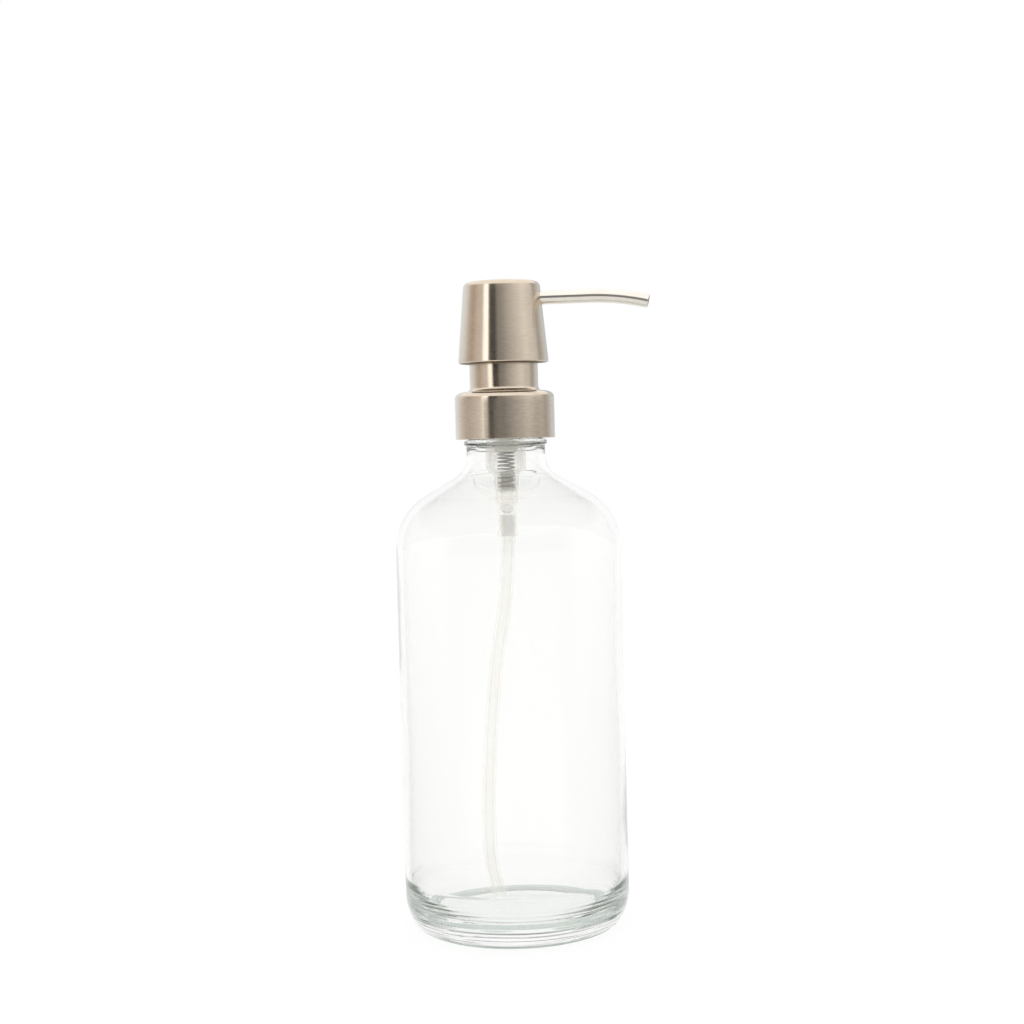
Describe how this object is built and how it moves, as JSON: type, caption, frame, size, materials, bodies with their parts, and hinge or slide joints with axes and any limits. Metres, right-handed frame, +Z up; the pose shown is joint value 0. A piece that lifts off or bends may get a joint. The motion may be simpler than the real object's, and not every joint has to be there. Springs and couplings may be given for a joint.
{
  "type": "soap pump dispenser",
  "caption": "Round-shouldered clear glass bottle with a brushed steel lotion pump: screw collar, conical push head, thin drooping spout and a clear dip tube.",
  "frame": {"origin": "on the bottle's axis, at the surface the bottle stands on", "axes": "+Z up along the bottle's axis, +X from the axis towards the spout's end, +Y to the left of the spout seen from behind it"},
  "size_m": [0.0867, 0.075, 0.2145],
  "materials": {
    "clear_glass": "clear, polished",
    "brushed_steel": "satin, brushed round the axis",
    "spring_steel": "bright",
    "clear_plastic": "natural polypropylene, translucent",
    "white_plastic": "smooth",
    "foam_liner": "soft foam"
  },
  "bodies": {
    "bottle": {"glass_bottle": "clear_glass"},
    "pump_body": {"pump_housing": "clear_plastic", "neck_gasket": "foam_liner", "guide_ring": "white_plastic", "dip_tube": "clear_plastic", "ball_cage": "white_plastic", "return_spring": "spring_steel"},
    "closure": {"threaded_cap": "white_plastic", "collar_shell": "brushed_steel", "neck_liner": "white_plastic"},
    "plunger": {"piston": "white_plastic"},
    "head": {"piston_retainer": "white_plastic", "stem": "white_plastic", "head_core": "white_plastic", "head_cover": "brushed_steel", "spout_tube": "brushed_steel"},
    "lower_valve": {"inlet_ball": "spring_steel"},
    "upper_valve": {"outlet_ball": "spring_steel"}
  },
  "joints": [
    {"name": "pump_raise", "type": "slide", "parent": "bottle", "child": "pump_body", "axis": [0, 0, 1], "range_m": [0, 0.00635]},
    {"name": "closure_turn", "type": "hinge", "parent": "pump_body", "child": "closure", "pos_m": [0, 0, 0.17], "axis": [0, 0, 1], "range_deg": [0, 541]},
    {"name": "head_press", "type": "slide", "parent": "pump_body", "child": "plunger", "axis": [0, 0, -1], "range_m": [0, 0.009], "stiffness_N_per_m": 900, "springref_m": -0.005, "deforming": ["return_spring"]},
    {"name": "head_turn", "type": "hinge", "parent": "plunger", "child": "head", "pos_m": [0, 0, 0.2], "axis": [0, 0, 1], "continuous": true},
    {"name": "inlet_ball_lift", "type": "slide", "parent": "pump_body", "child": "lower_valve", "axis": [0, 0, 1], "range_m": [0, 0.0019]},
    {"name": "outlet_ball_lift", "type": "slide", "parent": "head", "child": "upper_valve", "axis": [0, 0, 1], "range_m": [0, 0.0006]}
  ],
  "couplings": [
    {"joint": "closure_turn", "follows": "pump_raise", "rad_per_m": 1484.2}
  ]
}
